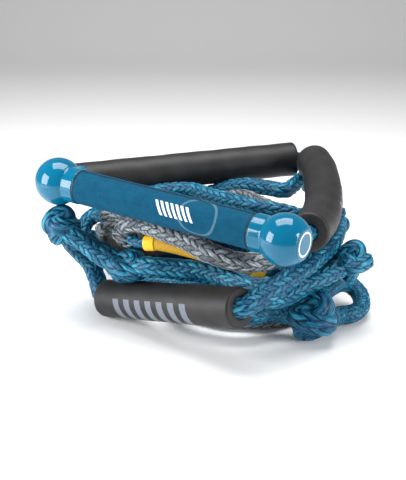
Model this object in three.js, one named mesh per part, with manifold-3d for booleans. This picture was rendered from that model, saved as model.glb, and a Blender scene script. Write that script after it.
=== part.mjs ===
// Wakesurf tow rope: a ten inch bar handle with a floating bridle, laid on its own coiled line.
// Millimetres, +Z up. The origin is on the ground under the middle of the handle and floats.
import * as THREE from 'three';
import { mergeVertices } from 'three/addons/utils/BufferGeometryUtils.js';
import Module from 'manifold-3d';

const wasm = await Module();
wasm.setup();

// ---------------------------------------------------------------- driving dimensions

const GAP = 0.3;                 // air left between pieces that touch
const ROUND = 24;                // sides of a round piece
const KNOT_SIDES = 12;           // sides of a knot's plain solid
const ROPE_SIDES = 12;           // sides of a rope tube
const ROPE_STEP = 42;            // length of one step along a loose rope
const HELD_STEP = 12;            // the same along a rope held in caps, foam or a sleeve

// Handle, made along its own X and then laid over the coil.
const HANDLE_CENTRE = [-18.8, -63.3, 113.4];
const HANDLE_TURN = -33.2;       // degrees about Z
const HANDLE_DIP = 2.4;          // degrees that the right end hangs lower
const BALL_R = 19.7;
const BALL_SPAN = 212.5;         // between the two ball centres
const COLLAR_R = 14.5;
const COLLAR_REACH = 24.2;         // from ball centre to the face that meets the grip
const NECK_RISE = 1.2;           // hollow where the ball runs into the collar
const CAP_EDGE = 1;              // rounded rim of the collar
const TUBE_R = 11;
const TUBE_WALL = 2;
const LINER_WALL = 1.1;
const COVER_WALL = 1.3;
const WASHER_T = 0.8;
const SPIGOT_LENGTH = 30;        // cap's plug inside the tube
const KNOT_ROOM_R = 10.6;        // hollow in the ball that holds the stopper knot
const KNOT_ROOM_DEPTH = 12;      // how far that hollow goes past the ball centre
const PLUG_T = 3.2;
const PLUG_SEAT = 1.4;           // the plug's seat is wider than the knot room by this
const PLUG_PROUD = 0.4;          // how far the plug's flat face stands out of its mouth
const PLUG_EDGE = 1;
const STOPPER_PLAY = 1.2;        // around the stopper knot in its room

// Foam floats.
const FLOAT_R = 16;
const FLOAT_EDGE = 2.5;          // rounded end of the foam
const BORE_PLAY = 0.6;           // between rope and foam

// Ropes, as radii.
const BRIDLE_R = 6.5;
const LEADER_R = 7;
const MAIN_R = 8.2;
const GREY_R = 8;
const THIN_R = 6.5;
const SLEEVE_ROPE_R = 4.4;
const RETURN_R = 7;
const LOOP_R = 8;

// Yellow sleeve on its rope, as distances along that rope.
const SLEEVE_PLAY = 0.6;         // between the rope and its sleeve
const SLEEVE_WALL = 0.9;
const BAND_WALL = 1.4;
const SLEEVE_START = 28.5;
const SLEEVE_LENGTH = 99;
const BAND_LENGTH = 9;

// Coil of spare line, a long ring of turns that lie beside and on each other.
const COIL_CENTRE = [20, 40];
const COIL_STRAIGHT = 80;        // straight run of each turn
const COIL_OUTER_FOLD = 44;      // fold radius at the middle of the outer turn
const COIL_TURNS = 2;            // turns side by side
const COIL_LAYERS = 2;
const COIL_PITCH = 16.6;         // between neighbouring turns

// Ends of the floats' centre lines.
const BACK_FLOAT = [[-110, 78, 93], [98, 126, 101]];
const COIL_TOP = (COIL_LAYERS - 1) * COIL_PITCH + 2 * MAIN_R;
const FLOAT_LIFT = 1;            // between the coil and the float that lies on it
const INNER_FLOAT_Z = COIL_TOP + FLOAT_LIFT + FLOAT_R;
const INNER_FLOAT = [[-80, 20, INNER_FLOAT_Z], [56, 88, INNER_FLOAT_Z]];
const FRONT_FLOAT = [[-71.3, -8.7, FLOAT_R - 1], [39.5, -109.5, 50]];
const SIDE_FLOAT = [
  [90, -88, 102], [102, -48, 98], [111, -6, 99], [114.5, 35, 103], [114.5, 66, 107], [112, 92, 108],
];

// Knots: middle, then half sizes along X, Y and Z.
const KNOTS = {
  apex_knot: { at: [113, 111, 85], half: [13, 12, 12] },
  knot_left: { at: [-106, -15, 83], half: [14.5, 14, 14.5] },
  knot_blue: { at: [-50, -36, 54], half: [17, 12, 12.5] },
  knot_grey: { at: [-52, -20, 78], half: [11, 12, 13] },
  knot_ring: { at: [134, -31, 57], half: [15, 14, 16] },
  knot_front: { at: [100, -60, 19.5], half: [20, 17, 19.5] },
  knot_side: { at: [124, 25, 72], half: [12, 12, 12] },
};

// Free stretches of rope, each from one end to the other.
const BRIDLE_LEFT = [
  [-99, 37, 111], [-112, 54, 102], [-123, 65, 96], [-123, 74, 93],
];
const BRIDLE_LEFT_END = [[108, 128, 99], [116, 125, 93]];
const BRIDLE_RIGHT_END = [[111, 102, 108], [112, 108, 103]];
const STRAIGHT_OUT = [20, 28];   // the bridle leaves each ball straight for this far
const LEADER_ROUTE = [
  [104, 102, 88], [94, 82, 88], [85, 70, 87], [69, 78, 87], [50, 88, 86], [29, 98, 79], [5, 107, 68],
  [-20, 109, 58], [-45, 101, 55], [-63, 84, 61], [-61, 68, 73], [-42, 70, 82], [-19, 80, 84],
  [0, 79, 85], [14, 66, 85], [27, 52, 85], [43, 37, 85], [57, 26, 85], [75, 20, 84], [95, 20, 79],
  [110, 23, 75],
];
const FRONT_ROUTE_RIGHT = [
  [125, 10, 73], [122, -9, 72], [115, -27, 70], [96, -55, 65], [74, -82, 60], [56, -98, 55],
];
const FRONT_ROUTE_LEFT = [
  [-77, 1, 15.5], [-81, 8, 26], [-86, 6, 41], [-93, 0, 53], [-100, -7, 66],
];
const MIDDLE_ROUTE_LEFT = [[-97, -22, 77], [-87, -22, 70], [-75, -27, 62], [-64, -32, 57]];
const MIDDLE_ROUTE_RIGHT = [
  [-32, -46, 58], [-7, -49, 57], [17, -56, 56], [40, -73, 52], [57, -81, 47], [73, -72, 43],
  [88, -59, 45], [105, -50, 49], [120, -39, 53],
];
const GREY_ROUTE = [
  [118, -14, 49], [97, -32, 57], [82, -47, 69], [70, -66, 76], [56, -85, 78], [39, -91, 80],
  [20, -87, 84], [1, -70, 88], [-23, -51, 91], [-40, -33, 91], [-50, -25, 86],
];
const COIL_LEAD_ROUTE = [
  [-63, -5, 79], [-72, 14, 80], [-83, 25, 78], [-91, 23, 71], [-94, 17, 63], [-92, 15, 55],
  [-87, 16.5, 50],
];
const COIL_LEAD_END = [[66, 92, 50], [80, 91, 47], [90, 80, 42], [92, 66, 38], [90, 50, 28]];
const COIL_TAIL_ROUTE = [
  [83, -54, 20], [66, -50, 20], [51, -56, 20], [35, -57, 20.5], [18, -52, 21.5], [2, -43, 23],
  [-8, -30, 24.3], [-8, -16, 25], [2, -6.5, 25], [16, -4, 24.8],
];
const END_LOOP_ROUTE = [
  [102, -57, 12], [114, -46, 10], [125, -32, 8.8], [137, -27, 8.6], [146, -14, 10], [146, 1, 15],
  [138, 7, 21], [127, -4, 27], [118, -22, 31], [108, -40, 31], [99, -52, 29],
];
const SLEEVE_ROUTE = [
  [-44, -36, 76], [-22, -46, 78], [1, -53, 75], [28, -62, 70], [57, -63, 62], [75, -48, 52],
  [84, -42, 42], [93, -51, 36],
];
const RETURN_ROUTE = [
  [-28, 78, 26], [-24, 84, 44], [-6, 89, 58], [18, 88, 70], [46, 76, 79], [62, 57, 79], [77, 38, 76],
  [94, 26, 65], [108, 20, 51], [116, 20, 37], [110, 6, 22], [99, -9, 12], [84, -26, 7.4],
  [65, -38, 7.2], [46, -39, 7.2], [28, -36, 7.2], [10, -25, 7.2], [-3, -8, 8],
];

// ---------------------------------------------------------------- materials

const finish = (color, roughness, metalness = 0) =>
  new THREE.MeshStandardMaterial({ color, roughness, metalness });

const MATERIALS = {
  cap: finish(0x0a7fab, 0.18),
  plug: finish(0x0a7fab, 0.25),
  grip: finish(0x005f8c, 0.85),
  foam: finish(0x1d1d1e, 0.7),
  liner: finish(0x30343a, 0.9),
  metal: finish(0xb9bdc2, 0.35, 1),
  rubber: finish(0x101214, 0.7),
  blueRope: finish(0x0a5f94, 0.55),
  greyRope: finish(0x7d8890, 0.55),
  sleeve: finish(0xd2a010, 0.6),
  band: finish(0xfabe14, 0.35),
};

// ---------------------------------------------------------------- solids

const vec = (p) => new THREE.Vector3(...p);
const mix = (a, b, t) => vec(a).lerp(vec(b), t).toArray();

function solidOf(geometry) {
  geometry.deleteAttribute('normal');
  geometry.deleteAttribute('uv');
  const merged = mergeVertices(geometry, 1e-5);
  const triVerts = new Uint32Array(merged.index.array);
  const vertProperties = new Float32Array(merged.attributes.position.array);
  return new wasm.Manifold(new wasm.Mesh({ numProp: 3, vertProperties, triVerts }));
}

function geometryOf(solid) {
  const mesh = solid.getMesh();
  const geometry = new THREE.BufferGeometry();
  geometry.setAttribute('position', new THREE.BufferAttribute(mesh.vertProperties, 3));
  geometry.setIndex(new THREE.BufferAttribute(mesh.triVerts, 1));
  geometry.computeVertexNormals();
  return geometry;
}

// A piece of turning: [x, radius] points, spun about X.
function turned(profile) {
  const points = profile.map(([x, r]) => new THREE.Vector2(r, x));
  const geometry = new THREE.LatheGeometry(points, ROUND);
  geometry.rotateZ(-Math.PI / 2);
  geometry.rotateX(Math.PI / 2);
  return geometry;
}

// A ring or sleeve between two radii, from x0 to x1, with rounded outer corners.
function turnedRing(x0, x1, inner, outer, edge = 0) {
  const rim = [];
  for (let i = 0; i <= 2 && edge > 0; i += 1) {
    const a = (Math.PI / 2) * (i / 2);
    rim.push([edge * (1 - Math.sin(a)), outer - edge * (1 - Math.cos(a))]);
  }
  const left = rim.map(([x, r]) => [x0 + x, r]).reverse();
  const right = rim.map(([x, r]) => [x1 - x, r]);
  const outside = edge > 0 ? [...left, ...right] : [[x0, outer], [x1, outer]];
  return turned([[x0, inner], ...outside, [x1, inner], [x0, inner]]);
}

function circle(radius, sides) {
  const points = [];
  for (let i = 0; i < sides; i += 1) {
    const a = (2 * Math.PI * i) / sides;
    points.push(new THREE.Vector2(radius * Math.cos(a), radius * Math.sin(a)));
  }
  return points;
}

// A tube along a curve. With an inner radius it is open right through.
function tubeAlong(curve, outer, { inner = 0, sides = ROPE_SIDES, step = ROPE_STEP } = {}) {
  const shape = new THREE.Shape(circle(outer, sides));
  if (inner > 0) shape.holes.push(new THREE.Path(circle(inner, sides)));
  const steps = Math.max(2, Math.round(curve.getLength() / step));
  return new THREE.ExtrudeGeometry(shape, { steps, extrudePath: curve, bevelEnabled: false });
}

const curveOf = (points) => new THREE.CatmullRomCurve3(points.map(vec));

// The stretch of a curve between two distances along it.
class Stretch extends THREE.Curve {
  constructor(curve, from, to) {
    super();
    this.whole = curve;
    this.from = from / curve.getLength();
    this.to = to / curve.getLength();
  }

  getPoint(t) {
    return this.whole.getPointAt(this.from + (this.to - this.from) * t);
  }
}

function ellipsoid({ at, half }, grow = 0) {
  const geometry = new THREE.SphereGeometry(1, KNOT_SIDES, KNOT_SIDES - 4);
  geometry.scale(half[0] + grow, half[1] + grow, half[2] + grow);
  geometry.translate(...at);
  return solidOf(geometry);
}

// ---------------------------------------------------------------- the model

const model = new THREE.Group();
const handle = new THREE.Group();
handle.position.set(...HANDLE_CENTRE);
handle.rotation.set(0, THREE.MathUtils.degToRad(HANDLE_DIP), THREE.MathUtils.degToRad(HANDLE_TURN), 'ZYX');
model.add(handle);
handle.updateMatrixWorld(true);

function add(parent, name, shape, material) {
  const geometry = shape instanceof THREE.BufferGeometry ? shape : geometryOf(shape);
  const mesh = new THREE.Mesh(geometry, material);
  mesh.name = name;
  parent.add(mesh);
  return mesh;
}

const onHandle = (x, y, z) => handle.localToWorld(new THREE.Vector3(x, y, z)).toArray();

// What the knots, the coil and the ropes lie against, each a gap larger than the piece itself.
const laid = [];
const pressed = (solid) => laid.reduce((rest, other) => rest.subtract(other), solid);

// ---------------------------------------------------------------- handle

const GRIP_HALF = BALL_SPAN / 2 - COLLAR_REACH;

function coreTube() {
  const half = GRIP_HALF - GAP;
  add(handle, 'core_tube', turnedRing(-half, half, TUBE_R - TUBE_WALL, TUBE_R), MATERIALS.metal);
}

function gripLayers() {
  const half = GRIP_HALF - WASHER_T - 2 * GAP;
  const linerIn = TUBE_R + GAP;
  const coverIn = linerIn + LINER_WALL + GAP;
  add(handle, 'foam_liner', turnedRing(-half, half, linerIn, linerIn + LINER_WALL), MATERIALS.liner);
  add(handle, 'grip_cover', turnedRing(-half, half, coverIn, coverIn + COVER_WALL), MATERIALS.grip);
  for (const [side, sign] of [['left', -1], ['right', 1]]) {
    const near = GRIP_HALF - GAP - WASHER_T;
    const washer = turnedRing(near, near + WASHER_T, linerIn, coverIn + COVER_WALL);
    if (sign < 0) washer.rotateZ(Math.PI);
    add(handle, `grip_washer_${side}`, washer, MATERIALS.rubber);
  }
}

// Outline of the right-hand cap, measured from its ball centre; the bar runs towards -X.
function capProfile() {
  const spigotR = TUBE_R - TUBE_WALL - GAP;
  const neckR = COLLAR_R + NECK_RISE;
  const neckX = Math.sqrt(BALL_R ** 2 - neckR ** 2);
  const seatR = KNOT_ROOM_R + PLUG_SEAT;
  const mouthX = Math.sqrt(BALL_R ** 2 - seatR ** 2);
  const points = [[-KNOT_ROOM_DEPTH, 0], [-KNOT_ROOM_DEPTH, KNOT_ROOM_R]];
  points.push([mouthX - PLUG_T, KNOT_ROOM_R], [mouthX - PLUG_T, seatR]);
  const start = Math.atan2(seatR, mouthX);
  const stop = Math.atan2(neckR, -neckX);
  for (let i = 0; i <= 9; i += 1) {
    const a = start + ((stop - start) * i) / 9;
    points.push([BALL_R * Math.cos(a), BALL_R * Math.sin(a)]);
  }
  points.push([-neckX - NECK_RISE, COLLAR_R + NECK_RISE / 4], [-neckX - 2 * NECK_RISE, COLLAR_R]);
  points.push([-COLLAR_REACH + CAP_EDGE, COLLAR_R], [-COLLAR_REACH, COLLAR_R - CAP_EDGE]);
  points.push([-COLLAR_REACH, spigotR]);
  points.push([-COLLAR_REACH - SPIGOT_LENGTH + 1, spigotR], [-COLLAR_REACH - SPIGOT_LENGTH, spigotR - 1]);
  points.push([-COLLAR_REACH - SPIGOT_LENGTH, 0]);
  return points.reverse();
}

// Outline of the right-hand plug: a disc that fills the mouth, with a flat face and a soft edge.
function plugProfile() {
  const seatR = KNOT_ROOM_R + PLUG_SEAT;
  const mouthX = Math.sqrt(BALL_R ** 2 - seatR ** 2);
  const back = mouthX - PLUG_T + GAP;
  const rim = seatR - GAP;
  const face = mouthX + PLUG_PROUD;
  return [[back, 0], [back, rim], [face - PLUG_EDGE, rim], [face, rim - PLUG_EDGE], [face, 0]];
}

function endCaps() {
  for (const [side, sign] of [['left', -1], ['right', 1]]) {
    const ropeHole = new THREE.CylinderGeometry(BRIDLE_R + BORE_PLAY, BRIDLE_R + BORE_PLAY, BALL_R + 4, 16);
    ropeHole.translate(0, (BALL_R + 4) / 2, 0);
    const body = solidOf(turned(capProfile())).subtract(solidOf(ropeHole));
    const cap = add(handle, `end_cap_${side}`, body, MATERIALS.cap);
    const plug = add(handle, `cap_plug_${side}`, turned(plugProfile()), MATERIALS.plug);
    for (const piece of [cap, plug]) {
      if (sign < 0) piece.geometry.applyMatrix4(new THREE.Matrix4().makeRotationX(Math.PI));
      if (sign < 0) piece.geometry.rotateZ(Math.PI);
      piece.position.x = (sign * BALL_SPAN) / 2;
    }
    cap.updateWorldMatrix(true, false);
    laid.push(solidOf(cap.geometry.clone().applyMatrix4(cap.matrixWorld)));
  }
}

// ---------------------------------------------------------------- floats

// A straight foam tube between two points, with a bore for the rope.
function straightFloat(name, [from, to], ropeR) {
  const start = vec(from);
  const along = vec(to).sub(start);
  const length = along.length();
  const shape = (grow) =>
    turnedRing(-grow, length + grow, ropeR + BORE_PLAY - grow, FLOAT_R + grow, FLOAT_EDGE);
  const mesh = add(model, name, shape(0), MATERIALS.foam);
  mesh.quaternion.setFromUnitVectors(new THREE.Vector3(1, 0, 0), along.normalize());
  mesh.position.copy(start);
  mesh.updateMatrixWorld(true);
  laid.push(solidOf(shape(GAP).applyMatrix4(mesh.matrixWorld)));
}

function floats() {
  straightFloat('float_back', BACK_FLOAT, BRIDLE_R);
  straightFloat('float_inner', INNER_FLOAT, THIN_R);
  straightFloat('float_front', FRONT_FLOAT, MAIN_R);
  const curve = curveOf(SIDE_FLOAT);
  const shape = (grow) => {
    const inner = BRIDLE_R + BORE_PLAY - grow;
    return tubeAlong(curve, FLOAT_R + grow, { inner, sides: 20, step: HELD_STEP });
  };
  add(model, 'float_side', shape(0), MATERIALS.foam);
  laid.push(solidOf(shape(GAP)));
}

// ---------------------------------------------------------------- knots and coil

// The coil: a ring with two straight runs and round ends, as high as its layers.
function coilSolid(grow = 0) {
  const outer = COIL_OUTER_FOLD + MAIN_R + grow;
  const inner = COIL_OUTER_FOLD - (COIL_TURNS - 1) * COIL_PITCH - MAIN_R - grow;
  const outline = (Kind, radius) => {
    const points = [];
    for (let i = 0; i <= 24; i += 1) {
      const a = (Math.PI * i) / 24 - Math.PI / 2;
      points.push(new THREE.Vector2(COIL_STRAIGHT / 2 + radius * Math.cos(a), radius * Math.sin(a)));
    }
    return new Kind([...points, ...points.map((p) => new THREE.Vector2(-p.x, -p.y))]);
  };
  const shape = outline(THREE.Shape, outer);
  shape.holes.push(outline(THREE.Path, inner));
  const geometry = new THREE.ExtrudeGeometry(shape, { depth: COIL_TOP + 2 * grow, bevelEnabled: false });
  geometry.translate(COIL_CENTRE[0], COIL_CENTRE[1], -grow);
  return solidOf(geometry);
}

const stopperAt = (sign) => onHandle((sign * BALL_SPAN) / 2, 0, 0);
const stopper = (sign) => ({ at: stopperAt(sign), half: Array(3).fill(KNOT_ROOM_R - STOPPER_PLAY) });

function knots() {
  const stoppers = { stopper_knot_left: stopper(-1), stopper_knot_right: stopper(1) };
  for (const [name, knot] of Object.entries({ ...KNOTS, ...stoppers })) {
    const material = name === 'knot_grey' ? MATERIALS.greyRope : MATERIALS.blueRope;
    add(model, name, pressed(ellipsoid(knot)), material);
    laid.push(ellipsoid(knot, GAP));
  }
}

function coil() {
  add(model, 'line_coil', pressed(coilSolid()), MATERIALS.blueRope);
  laid.push(coilSolid(GAP));
}

// ---------------------------------------------------------------- ropes

// A rope along its route. It stops a gap short of the knots or coil at its ends, and it is
// pressed in where it lies against a piece that was laid before it.
function rope(name, route, radius, material, step = ROPE_STEP) {
  const curve = curveOf(route);
  add(model, name, pressed(solidOf(tubeAlong(curve, radius, { step }))), material);
  laid.push(solidOf(tubeAlong(curve, radius + GAP, { step })));
}

// A float's bore as four route points, so that the rope runs straight through the foam.
const bore = ([from, to]) => [0, 0.33, 0.67, 1].map((t) => mix(from, to, t));
const knotAt = (name) => KNOTS[name].at;

// The bridle's first points: its stopper knot, then straight out through the ball's hole.
const outOfCap = (sign) => [0, ...STRAIGHT_OUT].map((y) => onHandle((sign * BALL_SPAN) / 2, y, 0));

function bridle() {
  const left = [...outOfCap(-1), ...BRIDLE_LEFT, ...bore(BACK_FLOAT), ...BRIDLE_LEFT_END, knotAt('apex_knot')];
  const right = [...outOfCap(1).slice(0, 2), ...SIDE_FLOAT, ...BRIDLE_RIGHT_END, knotAt('apex_knot')];
  rope('bridle_leg_left', left, BRIDLE_R, MATERIALS.blueRope, HELD_STEP);
  rope('bridle_leg_right', right, BRIDLE_R, MATERIALS.blueRope, HELD_STEP);
}

function sleevedRope() {
  const route = [knotAt('knot_grey'), ...SLEEVE_ROUTE, knotAt('knot_front')];
  rope('sleeve_rope', route, SLEEVE_ROPE_R, MATERIALS.blueRope, HELD_STEP);
  const curve = curveOf(route);
  const inner = SLEEVE_ROPE_R + SLEEVE_PLAY;
  const cover = (name, from, to, wall, material) => {
    const along = new Stretch(curve, from, to);
    const outer = inner + wall;
    add(model, name, tubeAlong(along, outer, { inner, sides: 16, step: HELD_STEP }), material);
    laid.push(solidOf(tubeAlong(along, outer + GAP, { sides: 16, step: HELD_STEP })));
  };
  const start = SLEEVE_START;
  const stop = SLEEVE_START + SLEEVE_LENGTH;
  cover('sleeve', start + BAND_LENGTH + GAP, stop - BAND_LENGTH - GAP, SLEEVE_WALL, MATERIALS.sleeve);
  cover('sleeve_band_left', start, start + BAND_LENGTH, BAND_WALL, MATERIALS.band);
  cover('sleeve_band_right', stop - BAND_LENGTH, stop, BAND_WALL, MATERIALS.band);
}

function mainLine() {
  const blue = MATERIALS.blueRope;
  const grey = MATERIALS.greyRope;
  const between = (from, route, to) => [knotAt(from), ...route, knotAt(to)];
  const throughFront = bore(FRONT_FLOAT).reverse();
  const front = [...FRONT_ROUTE_RIGHT, ...throughFront, ...FRONT_ROUTE_LEFT];
  const lead = [knotAt('knot_grey'), ...COIL_LEAD_ROUTE, ...bore(INNER_FLOAT), ...COIL_LEAD_END];
  rope('front_rope', between('knot_side', front, 'knot_left'), MAIN_R, blue);
  rope('lead_rope', between('knot_left', MIDDLE_ROUTE_LEFT, 'knot_blue'), MAIN_R, blue);
  rope('middle_rope', between('knot_blue', MIDDLE_ROUTE_RIGHT, 'knot_ring'), MAIN_R, blue);
  rope('grey_rope', between('knot_ring', GREY_ROUTE, 'knot_grey'), GREY_R, grey);
  rope('leader_rope', between('apex_knot', LEADER_ROUTE, 'knot_side'), LEADER_R, blue);
  rope('coil_lead', lead, THIN_R, blue);
  rope('coil_tail', [knotAt('knot_front'), ...COIL_TAIL_ROUTE], MAIN_R, blue);
  rope('end_loop', END_LOOP_ROUTE, LOOP_R, blue);
  rope('return_rope', RETURN_ROUTE, RETURN_R, grey);
}

coreTube();
gripLayers();
endCaps();
floats();
knots();
coil();
bridle();
sleevedRope();
mainLine();

export default model;
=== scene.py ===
# %% [markdown]
# # Tow rope handle, laid down with its line
# A short bar with a ball at each end, a braided bridle from the balls to a knot, foam floats
# that keep it all on the water, and the tow line, knotted and coiled under the bar.
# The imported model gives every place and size. This lesson gives each piece its surface.

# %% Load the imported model
import math

import bpy
import numpy as np
from mathutils import Matrix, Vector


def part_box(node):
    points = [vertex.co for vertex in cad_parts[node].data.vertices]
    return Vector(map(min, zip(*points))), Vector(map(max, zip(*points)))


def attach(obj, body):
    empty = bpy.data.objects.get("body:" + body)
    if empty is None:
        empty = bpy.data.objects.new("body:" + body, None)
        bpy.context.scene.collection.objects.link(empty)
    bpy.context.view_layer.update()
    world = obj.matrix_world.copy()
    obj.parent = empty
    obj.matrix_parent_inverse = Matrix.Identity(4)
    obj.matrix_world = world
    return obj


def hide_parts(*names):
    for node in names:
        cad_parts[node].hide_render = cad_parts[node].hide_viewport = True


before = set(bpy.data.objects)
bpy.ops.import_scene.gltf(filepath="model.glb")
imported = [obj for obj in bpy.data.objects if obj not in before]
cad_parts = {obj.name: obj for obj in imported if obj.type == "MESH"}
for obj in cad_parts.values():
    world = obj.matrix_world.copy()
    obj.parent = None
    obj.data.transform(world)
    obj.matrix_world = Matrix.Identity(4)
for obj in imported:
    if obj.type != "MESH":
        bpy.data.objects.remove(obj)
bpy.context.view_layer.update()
MM = 0.001

# %% [markdown]
# ## Camera
# A 75 mm lens, a little under a metre away and 20 degrees above the bar, keeps the
# foreshortening small, so that the near ball isn't much larger than the far one.

# %% Camera
eye = bpy.data.cameras.new("studio_camera")
eye.lens = 75
eye.sensor_width = 36
eye.clip_start = 0.02
camera = bpy.data.objects.new("studio_camera", eye)
camera.location = (0.011, -0.7958, 0.3541)
camera.rotation_euler = (math.radians(70), 0, 0)
bpy.context.scene.collection.objects.link(camera)
bpy.context.scene.camera = camera
print("camera at", tuple(camera.location))

# %% [markdown]
# ## From a few points to a smooth rope line
# A rope is laid through a handful of points. A Catmull-Rom curve goes through every one of
# them, and the centripetal kind neither loops nor overshoots where two points lie close.

# %% Lines through points
def through(points, spans=24):
    """Centripetal Catmull-Rom line: on each span a cubic from point b to point c, whose end
    slopes come from the neighbours a and d, with the root of each chord as its time."""
    p = np.asarray(points, float) * MM
    p = np.vstack([2 * p[0] - p[1], p, 2 * p[-1] - p[-2]])
    a, b, c, d = p[:-3], p[1:-2], p[2:-1], p[3:]
    root = lambda x, y: (((y - x) ** 2).sum(1) ** 0.25)[:, None]
    before, here, after = root(a, b), root(b, c), root(c, d)
    m0 = ((b - a) / before - (c - a) / (before + here) + (c - b) / here) * here
    m1 = ((c - b) / here - (d - b) / (here + after) + (d - c) / after) * here
    t = np.linspace(0, 1, spans, endpoint=False)[None, :, None]
    b, c, m0, m1 = b[:, None], c[:, None], m0[:, None], m1[:, None]
    cubic = (2 * t**3 - 3 * t**2 + 1) * b + (t**3 - 2 * t**2 + t) * m0
    cubic = cubic + (3 * t**2 - 2 * t**3) * c + (t**3 - t**2) * m1
    return np.vstack([cubic.reshape(-1, 3), p[-2:-1]])


def lengths(line):
    """Distance along a line at each of its points: the running sum of its chords."""
    return np.concatenate([[0], np.cumsum(np.linalg.norm(np.diff(line, axis=0), axis=1))])


def at_distance(line, s):
    """Points of the line at the distances s, each coordinate interpolated between neighbours."""
    run = lengths(line)
    return np.stack([np.interp(s, run, line[:, k]) for k in range(3)], axis=-1)


def evenly(line, step):
    """The same line with its points about one step apart."""
    total = lengths(line)[-1]
    return at_distance(line, np.linspace(0, total, max(4, round(total / step) + 1)))


# %% [markdown]
# ## A frame that travels without spinning
# To carry a cross-section along a rope, every point needs two directions square to the rope.
# Start from one fixed direction that the rope never points along, then undo, point by point,
# the spin that this choice adds. What is left turns only as much as the rope bends.

# %% Travelling frames
def unit(v):
    """Vectors scaled to length one."""
    return v / np.linalg.norm(v, axis=-1, keepdims=True)


def frames(line, closed=False):
    """Tangent T, normal N and binormal B = T x N along a line. N starts from a fixed direction
    made square to T, and is turned back by the sum of the small angles by which it spins."""
    if closed:
        T = unit(np.roll(line, -1, 0) - np.roll(line, 1, 0))
    else:
        T = unit(np.gradient(line, axis=0))
    k = np.arange(240) + 0.5
    rise, turn = 1 - k / 120, k * math.pi * (1 + 5**0.5)
    fan = np.stack([np.cos(turn) * np.sqrt(1 - rise**2), np.sin(turn) * np.sqrt(1 - rise**2), rise], -1)
    fixed = fan[np.abs(T @ fan.T).max(0).argmin()]
    N0 = unit(fixed - (T @ fixed)[:, None] * T)
    B0 = np.cross(T, N0)
    following = np.roll(N0, -1, 0)
    spin = -np.arctan2((following * B0).sum(1), (following * N0).sum(1))
    if closed:
        spin = spin - (spin.sum() - 2 * math.pi * round(spin.sum() / (2 * math.pi))) / len(spin)
    angle = np.concatenate([[0], np.cumsum(spin)[:-1]])[:, None]
    N = np.cos(angle) * N0 + np.sin(angle) * B0
    return T, N, np.cross(T, N)


# %% [markdown]
# ## Rows of points become a mesh
# Every piece here is rows of points round an axis. Neighbouring rows are joined with four-sided
# faces. A row at an open end is closed by a fan to its middle, so each piece is one sealed skin.

# %% Mesh from rows
def skin(name, rows, material, body, uv=None, marks=None, closed=False, stands_for=()):
    """Closed mesh from an array rows[i, j]: i runs along the piece and j round it. uv[i, j] has
    one more column than rows, so that a pattern meets itself at the seam, and one more row when
    the piece is closed lengthwise. marks are numbers stored at the points."""
    n, m, _ = rows.shape
    i = np.arange(n if closed else n - 1)[:, None]
    j = np.arange(m)[None, :]
    up, side = (i + 1) % n, (j + 1) % m
    quads = np.stack(np.broadcast_arrays(i * m + j, i * m + side, up * m + side, up * m + j), -1)
    points = rows.reshape(-1, 3)
    corners = quads.reshape(-1)
    starts = np.arange(0, corners.size, 4)
    if not closed:
        a, b = j[0], side[0]
        low = np.stack([np.full(m, n * m), b, a], -1)
        high = np.stack([np.full(m, n * m + 1), (n - 1) * m + a, (n - 1) * m + b], -1)
        fans = np.concatenate([low, high]).reshape(-1)
        starts = np.concatenate([starts, corners.size + np.arange(0, fans.size, 3)])
        corners = np.concatenate([corners, fans])
        points = np.vstack([points, rows[0].mean(0), rows[-1].mean(0)])
    mesh = bpy.data.meshes.new(name)
    mesh.vertices.add(len(points))
    mesh.vertices.foreach_set("co", points.reshape(-1).astype(np.float32))
    mesh.loops.add(corners.size)
    mesh.loops.foreach_set("vertex_index", corners.astype(np.int32))
    mesh.polygons.add(starts.size)
    mesh.polygons.foreach_set("loop_start", starts.astype(np.int32))
    mesh.update(calc_edges=True)
    mesh.shade_smooth()
    if uv is not None:
        ui = np.arange(n if closed else n - 1)[:, None]
        uj = np.arange(m)[None, :]
        flat = np.stack([uv[ui, uj], uv[ui, uj + 1], uv[ui + 1, uj + 1], uv[ui + 1, uj]], 2).reshape(-1, 2)
        if not closed:
            tips = np.stack([uv[0, :-1], uv[0, 1:], uv[0, :-1]], 1)
            tails = np.stack([uv[-1, :-1], uv[-1, :-1], uv[-1, 1:]], 1)
            flat = np.vstack([flat, tips.reshape(-1, 2), tails.reshape(-1, 2)])
        layer = mesh.uv_layers.new(name="surface")
        layer.uv.foreach_set("vector", flat.reshape(-1).astype(np.float32))
    for label, values in (marks or {}).items():
        values = values.reshape(-1)
        if not closed:
            values = np.concatenate([values, [values[:m].mean(), values[-m:].mean()]])
        mesh.attributes.new(label, "FLOAT", "POINT").data.foreach_set("value", values.astype(np.float32))
    mesh.materials.append(material)
    piece = bpy.data.objects.new(name, mesh)
    bpy.context.scene.collection.objects.link(piece)
    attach(piece, body)
    if stands_for:
        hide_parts(*stands_for)
    return piece


# %% [markdown]
# ## Materials: small tools
# A material here is a handful of nodes. These helpers add a node, set its values and join it
# to the nodes that feed it, so that a finish reads as a few lines.

# %% Node helpers
def node(tree, kind, inputs=(), **settings):
    """Add a node. inputs is {socket: value or another node's output}."""
    made = tree.nodes.new(kind)
    for key, value in settings.items():
        setattr(made, key, value)
    for socket, value in dict(inputs).items():
        if isinstance(value, bpy.types.NodeSocket):
            tree.links.new(value, made.inputs[socket])
        else:
            made.inputs[socket].default_value = value
    return made


def ramp(tree, factor, stops):
    """Colour ramp through (place, colour) stops."""
    made = tree.nodes.new("ShaderNodeValToRGB")
    tree.links.new(factor, made.inputs[0])
    while len(made.color_ramp.elements) < len(stops):
        made.color_ramp.elements.new(0.5)
    for element, (place, colour) in zip(made.color_ramp.elements, stops):
        element.position = place
        element.color = (*colour, 1)
    return made.outputs["Color"]


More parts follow.
